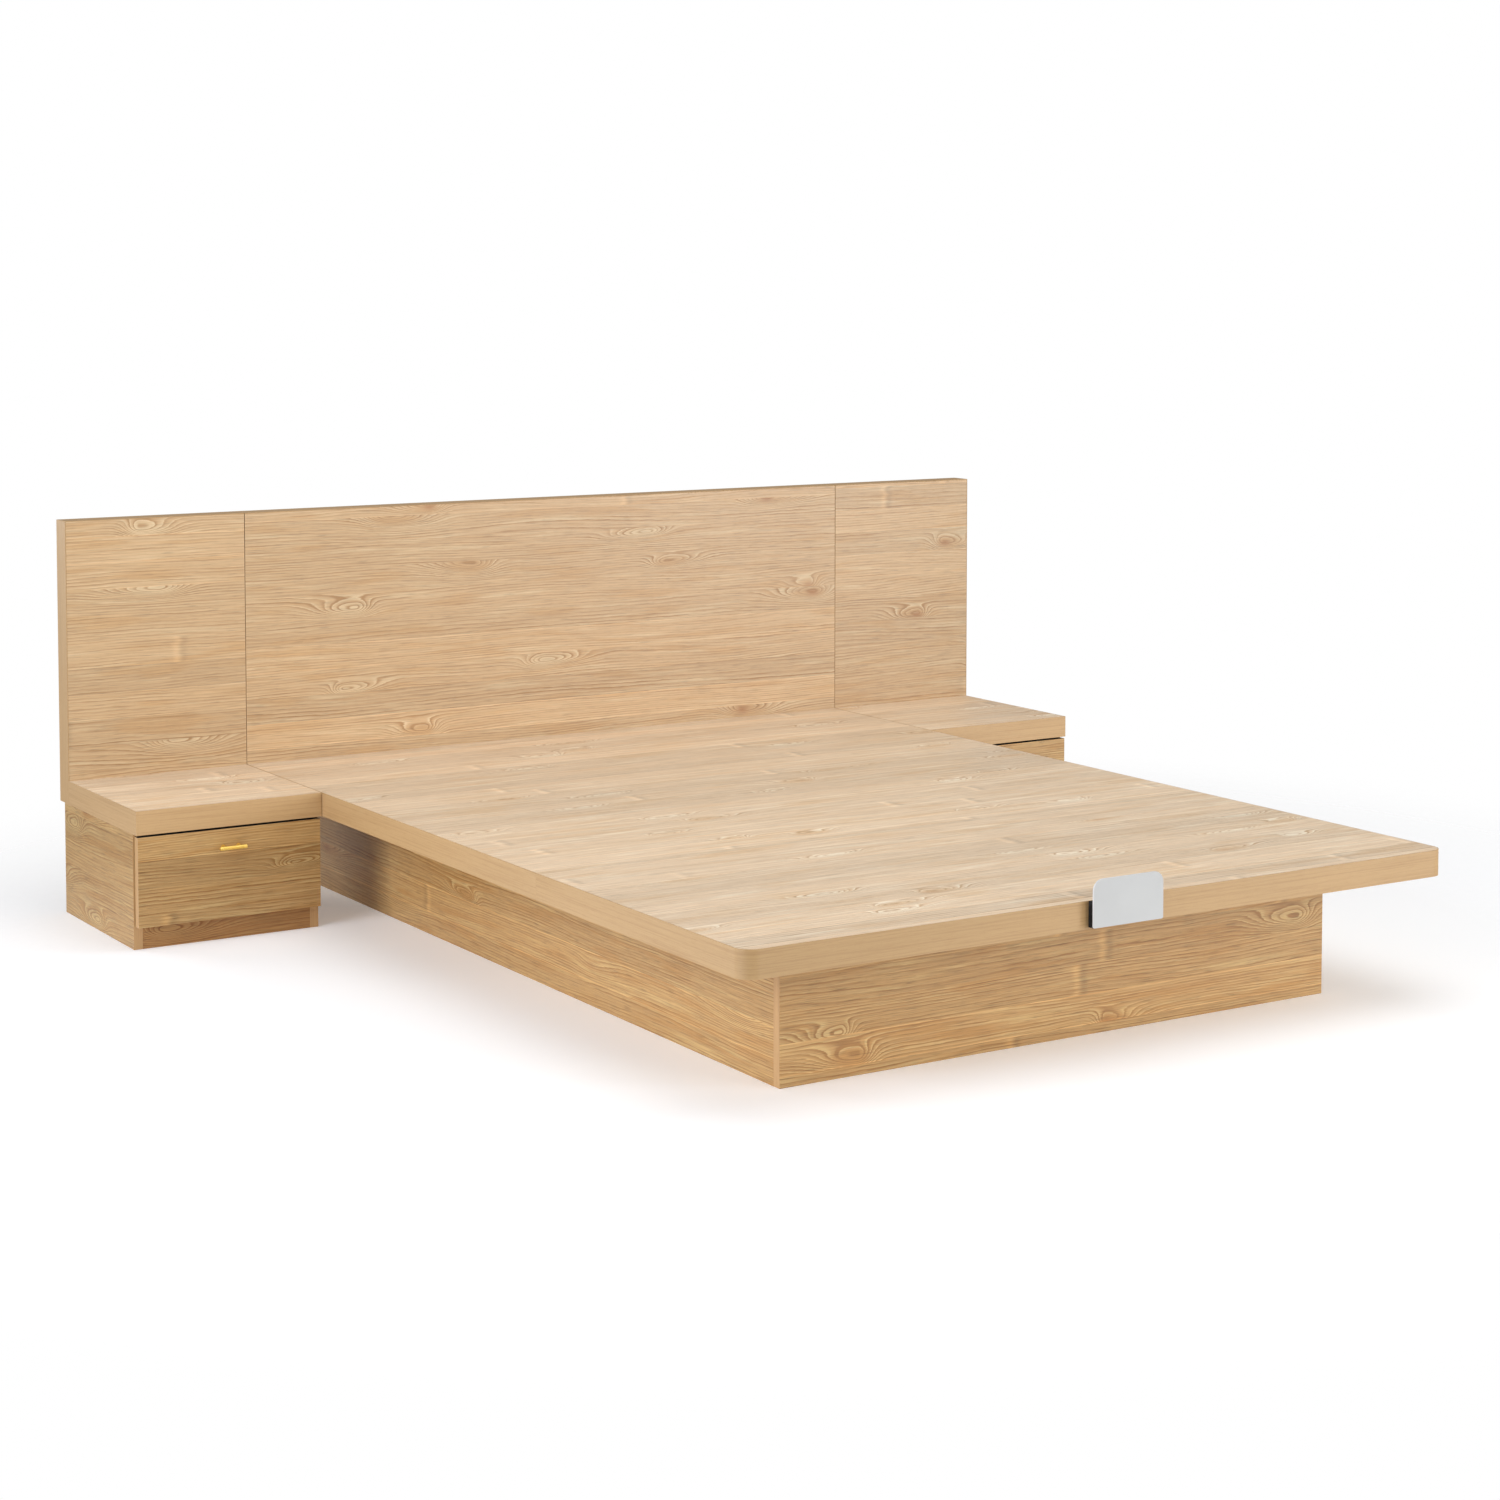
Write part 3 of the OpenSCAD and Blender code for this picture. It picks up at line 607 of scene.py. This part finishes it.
def wrap_grain(bm, seed):
    """For edging that turns round corners: metres along the strip and metres of height."""
    layer = bm.loops.layers.uv.new(GRAIN)
    foot = min(v.co.y for v in bm.verts)
    for face in bm.faces:
        for loop in face.loops:
            place = loop.vert.co
            run = place.x + math.copysign(place.y - foot, place.x)
            loop[layer].uv = (run + seed * SEED_ALONG, place.z + seed * SEED_ACROSS)


def wooden(node, face, edge, along, thickness, seed, width=ROUND, glued=()):
    """A board: the CAD solid with eased edges, a printed or plain face and edging round it."""
    bm = clean_copy(node)
    ease_edges(bm, width, glued)
    lay_grain(bm, board_runs(along, thickness), thickness, seed)
    add_piece(node, "wood", bm, (face, edge))


def add_drawer_front(side, seed):
    """The drawer's front, with its top edge painted near black as the shade in the gap under the
    top.
    """
    node = f"{side}_drawer_front"
    bm = clean_copy(node)
    ease_edges(bm, FRONT_ROUND, ())
    lay_grain(bm, board_runs("X", "Y"), "Y", seed)
    for face in bm.faces:
        if direction(face.normal) == "+Z":
            face.material_index = 2
    add_piece(node, "wood", bm, (oak_low, low_edge_painted_shade, reveal))


def edging(node, seed, width=ROUND, wrapped=True):
    """Edging strips with their grain along them, and round the corners if they are wrapped."""
    bm = clean_copy(node)
    ease_edges(bm, width, ("inner",))
    if wrapped:
        wrap_grain(bm, seed)
    else:
        runs = {"X": ("Z", "Y"), "Y": ("X", "Z"), "Z": ("X", "Y")}
        lay_grain(bm, runs, "Z", seed)
    add_piece(node, "strip", bm, (oak_edge, oak_edge))


def add_deck():
    """The two deck boards, their edging and the battens below."""
    for seed, part, joined in ((1, "head", "+Y"), (2, "foot", "-Y")):
        glued = ("-X", "+X", "-Z", joined)
        node = f"deck_{part}_board"
        wooden(node, oak_top, raw_board, "X", "Z", seed, TOP_ROUND, glued)
        edging(f"deck_{part}_edging", seed + 2)
        wooden(f"deck_{part}_battens", pine, pine, "X", "Z", seed + 4)


def add_plinth():
    """The plinth's outside boards in laminate, the inside ones in plain particle board."""
    wooden("plinth_side_left", oak_low, low_edge_painted_shade, "Y", "X", 7)
    wooden("plinth_side_right", oak_low, low_edge_painted_shade, "Y", "X", 8)
    wooden("plinth_foot_board", oak_low, low_edge_painted_shade, "X", "Y", 9)
    wooden("plinth_head_board", oak_low, low_edge_painted_shade, "X", "Y", 10)
    wooden("plinth_centre_beam", raw_board, raw_board, "Y", "X", 11)
    wooden("plinth_cross_ribs", raw_board, raw_board, "X", "Y", 12)


def add_headboard():
    """Three faced panels on battens, with back boards and edging strips."""
    for seed, part, joined in (
        (13, "left_face", "+Y"),
        (14, "centre_face", "+Y"),
        (15, "right_face", "+Y"),
        (16, "back_boards", "-Y"),
    ):
        glued = ("+Z", joined)
        node = f"headboard_{part}"
        wooden(node, oak_face, oak_edge, "X", "Y", seed, HEADBOARD_ROUND, glued)
    edging("headboard_edging", 17, HEADBOARD_ROUND, wrapped=False)
    wooden("headboard_battens", pine, pine, "X", "Y", 18)


def add_nightstand(side, seed):
    """One nightstand: its top, its carcass and its drawer."""
    glued = ("+X" if side == "right" else "-X", "-Y", "-Z", "+Y")
    wooden(f"{side}_top_board", oak_top, oak_edge, "X", "Z", seed, TOP_ROUND, glued)
    edging(f"{side}_top_edging", seed + 1)
    wooden(f"{side}_top_battens", pine, pine, "X", "Z", seed + 2)
    wooden(f"{side}_side_outer", oak_low, low_edge_painted_shade, "Y", "X", seed + 3)
    wooden(f"{side}_side_inner", oak_low, low_edge_painted_shade, "Y", "X", seed + 4)
    wooden(f"{side}_back_panel", raw_board, raw_board, "X", "Y", seed + 5)
    wooden(f"{side}_bottom_panel", raw_board, raw_board, "X", "Z", seed + 6)
    wooden(f"{side}_kick_board", oak_kick_painted_shade, low_edge_painted_shade, "X", "Y", seed + 7, KICK_ROUND)
    add_drawer_front(side, seed + 8)
    wooden(f"{side}_drawer_sides", pine, pine, "Y", "X", seed + 9)
    wooden(f"{side}_drawer_ends", pine, pine, "X", "Y", seed + 10)
    wooden(f"{side}_drawer_bottom", raw_board, raw_board, "X", "Z", seed + 11)


# ---- Metal parts -------------------------------------------------------------------------------

def plain_part(node, material, width):
    """A small CAD part with its edges broken."""
    bm = clean_copy(node)
    ease_edges(bm, width, ())
    add_piece(node, "metal", bm, (material,))


def add_stop():
    """The mattress stop's spacer and its plate, whose rounded rim is painted paler as a highlight.
    """
    node = "mattress_stop_plate"
    bm = clean_copy(node)
    ease_edges(bm, PLATE_ROUND, ())
    for face in bm.faces:
        flat = abs(face.normal.y) > 0.98
        face.material_index = 0 if flat else 1
    add_piece(node, "metal", bm, (paint, plate_rim_highlight))
    plain_part("mattress_stop_spacer", rubber, ROUND)


def dress_small_parts():
    """The brackets, screws, slides, bumpers and dowels are the CAD nodes with new materials."""
    looks = {"steel": steel, "black": rubber, "pine": pine}
    for part in frame["record"]["subparts"]:
        if part["material_slot"] in looks:
            for place in frame["nodes"][part["node"]].material_slots:
                place.material = looks[part["material_slot"]]


add_deck()
add_plinth()
add_headboard()
for side, first_seed in (("left", 20), ("right", 35)):
    add_nightstand(side, first_seed)
    plain_part(f"{side}_handle", brass, HANDLE_ROUND)
add_stop()
dress_small_parts()


# ---- Studio ------------------------------------------------------------------------------------

WORLD_LIGHT = 0.28       # the white world's strength as light
FLOOR_GLOW = 0.2         # the floor's own light, which keeps it nearly white
FLOOR_RADIUS = 16
FLOOR_SEEN = 1.2         # how far from the middle the floor starts to fade into the white
FLOOR_GONE = 2.4
FLOOR_DROP = 0.2 * MM    # how far the floor lies below the bed
CAMERA_PLACE = (-3.084, -4.776, 1.325)
CAMERA_LENS = 69.7
CAMERA_SHIFT = -0.2      # the photo's frame reaches far below the lens's middle
CAMERA_DOWN = 3.55       # degrees
CAMERA_TURN = 31.98      # degrees to the right of straight towards the headboard


def add_floor():
    """A pale floor that fades into the white round it."""
    bm = bmesh.new()
    bmesh.ops.create_circle(bm, cap_ends=True, segments=96, radius=FLOOR_RADIUS)
    material, g = new_material("studio_floor", 0.7, specular=0.2)
    x, y, _ = object_place(g)
    grain = g.noise(x / 0.02, y / 0.02, detail=3.0)
    colour = g.blend(grain, srgb(246, 246, 246), srgb(241, 241, 241))
    g.feed(g.shader.inputs["Base Color"], colour)
    clear = g.node("BsdfTransparent")
    mix = g.node("MixShader")
    distance = g.math("SQRT", x * x + y * y)
    g.feed(mix.inputs[0], g.step(distance, FLOOR_SEEN, FLOOR_GONE))
    g.tree.links.new(g.shader.outputs[0], mix.inputs[1])
    g.tree.links.new(clear.outputs[0], mix.inputs[2])
    g.tree.links.new(mix.outputs[0], g.tree.nodes["Material Output"].inputs["Surface"])
    g.shader.inputs["Emission Color"].default_value = (1, 1, 1, 1)
    g.shader.inputs["Emission Strength"].default_value = FLOOR_GLOW
    floor = new_object("studio_floor", bm, (material,), smooth=False)
    floor.location.z = -FLOOR_DROP


def add_world():
    """White to the camera, and softer than that as light."""
    world = bpy.data.worlds.new("studio")
    bpy.context.scene.world = world
    world.use_nodes = True
    tree = world.node_tree
    back = tree.nodes["Background"]
    back.inputs["Color"].default_value = (1, 1, 1, 1)
    path = tree.nodes.new("ShaderNodeLightPath")
    level = tree.nodes.new("ShaderNodeMapRange")
    level.inputs["To Min"].default_value = WORLD_LIGHT
    level.inputs["To Max"].default_value = 1.0
    tree.links.new(path.outputs["Is Camera Ray"], level.inputs["Value"])
    tree.links.new(level.outputs["Result"], back.inputs["Strength"])


def add_lamp(name, place, size, power, colour=(1, 1, 1)):
    """A square soft light that faces the middle of the deck."""
    lamp = bpy.data.lights.new(name, "AREA")
    lamp.shape = "SQUARE"
    lamp.size = size
    lamp.energy = power
    lamp.color = colour
    holder = bpy.data.objects.new(name, lamp)
    bpy.context.scene.collection.objects.link(holder)
    holder.location = place
    holder.rotation_euler = (DECK_JOINT - Vector(place)).to_track_quat("-Z", "Y").to_euler()


def add_camera():
    """Looks at the bed from the left of its foot, half a metre higher than the headboard."""
    data = bpy.data.cameras.new("camera")
    data.sensor_width = 36
    data.lens = CAMERA_LENS
    data.shift_y = CAMERA_SHIFT
    camera = bpy.data.objects.new("camera", data)
    bpy.context.scene.collection.objects.link(camera)
    camera.location = CAMERA_PLACE
    camera.rotation_euler = (math.radians(90 - CAMERA_DOWN), 0, -math.radians(CAMERA_TURN))
    bpy.context.scene.camera = camera


add_floor()
add_world()
add_lamp("key_front", (2.0, -6.0, 1.8), 2.0, 80, (1.05, 1.0, 0.87))
add_lamp("key_right", (4.6, -2.8, 4.4), 1.6, 42, (0.94, 1.0, 1.12))
add_lamp("low_right", (3.9, -4.5, 0.9), 1.6, 125, (0.94, 1.0, 1.12))
add_lamp("overhead", (0.2, -0.6, 3.8), 3.4, 66)
add_lamp("fill_left", (-4.8, -1.0, 1.6), 2.4, 138, (0.94, 1.0, 1.15))
add_lamp("back_left", (-3.6, 4.6, 1.6), 2.4, 72)
add_camera()
bpy.context.scene.view_settings.view_transform = "Standard"
